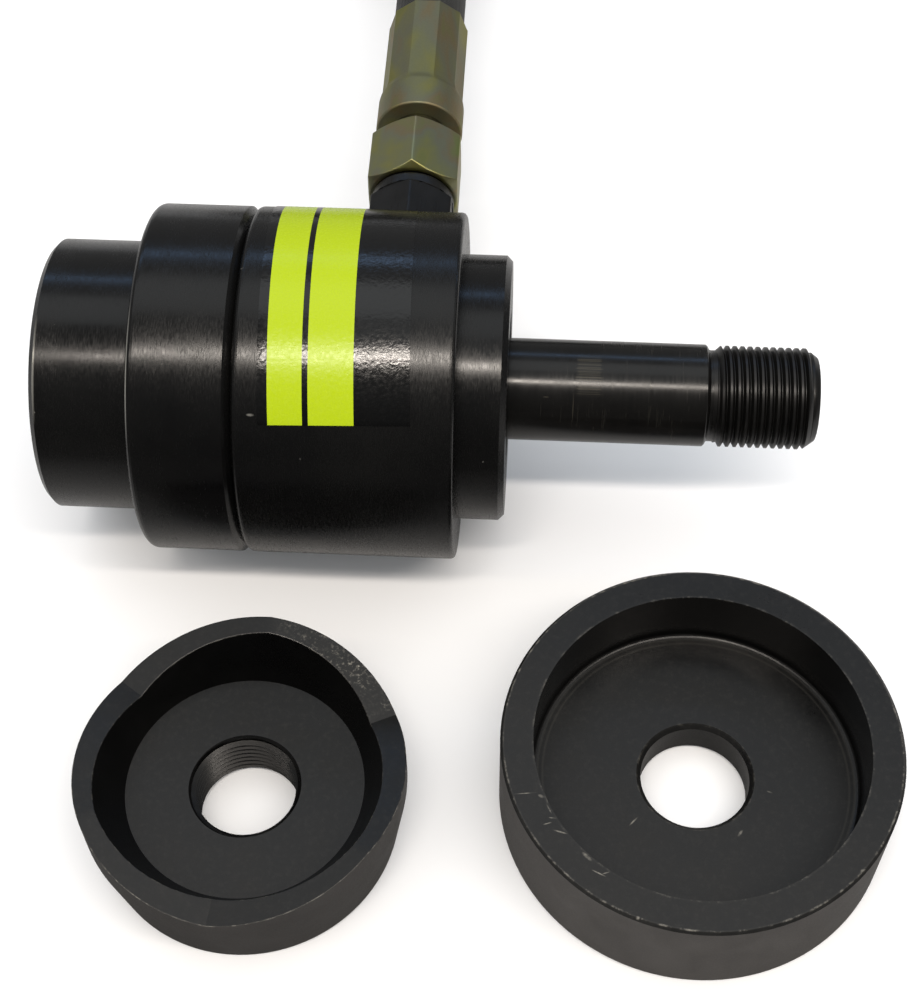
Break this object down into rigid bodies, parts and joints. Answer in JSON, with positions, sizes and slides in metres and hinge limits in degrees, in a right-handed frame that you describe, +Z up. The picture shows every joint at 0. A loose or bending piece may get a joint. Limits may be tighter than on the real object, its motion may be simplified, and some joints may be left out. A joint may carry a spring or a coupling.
{
  "type": "hydraulic hole punch",
  "caption": "Hydraulic hole punch: a pull cylinder with a threaded draw stud, a side pressure hose, and a loose three-point punch and die for sheet metal.",
  "frame": {"origin": "on the draw stud's axis, in the plane of the nose face that the die seats on", "axes": "+X along the draw stud to its free end, +Y along the hose fitting, +Z up from the table"},
  "size_m": [0.1986, 0.5257, 0.068],
  "materials": {
    "head_steel": "black oxide, satin, fine turning marks",
    "fitting_steel": "black oxide",
    "stud_steel": "black oxide, rubbed",
    "tool_steel": "hardened tool steel, dull black oxide",
    "ground_steel": "ground",
    "spring_steel": "oiled",
    "polyurethane": "moulded",
    "white_ring": "turned",
    "copper": "dull",
    "yellow_zinc": "yellow zinc plate",
    "hose_rubber": "fabric-wrapped rubber",
    "strap": "hook and loop"
  },
  "bodies": {
    "head": {"cylinder_body": "head_steel", "rear_housing": "head_steel", "rod_seal": "polyurethane", "rod_backup_ring": "white_ring", "return_spring": "spring_steel", "port_nipple": "fitting_steel", "port_washer": "copper", "swivel_nut": "yellow_zinc", "hose_stem": "yellow_zinc", "hose_end": "hose_rubber", "hose_ferrule": "yellow_zinc", "hose_run": "hose_rubber", "hose_coil": "hose_rubber", "hose_tail": "hose_rubber", "coil_ties": "strap", "far_hose_end": "hose_rubber", "far_ferrule": "yellow_zinc", "far_stem": "yellow_zinc"},
    "ram": {"piston": "ground_steel", "piston_seal": "polyurethane", "piston_backup_ring": "white_ring", "piston_guide_ring": "white_ring", "draw_stud": "stud_steel"},
    "far_nut": {"far_swivel_nut": "yellow_zinc"},
    "punch": {"punch": "tool_steel"},
    "die": {"die": "tool_steel"}
  },
  "joints": [
    {"name": "ram_slide", "type": "slide", "parent": "head", "child": "ram", "axis": [-1, 0, 0], "range_m": [0, 0.016], "stiffness_N_per_m": 9600, "springref_m": -0.02, "deforming": ["return_spring"]},
    {"name": "punch_lift", "type": "slide", "parent": "head", "child": "punch", "axis": [0, 0, 1], "range_m": [0, 0.09]},
    {"name": "die_lift", "type": "slide", "parent": "head", "child": "die", "axis": [0, 0, 1], "range_m": [0, 0.09]},
    {"name": "far_nut_spin", "type": "hinge", "parent": "head", "child": "far_nut", "pos_m": [0.0607, 0.407, -0.0227], "axis": [1, 0, 0], "continuous": true}
  ]
}
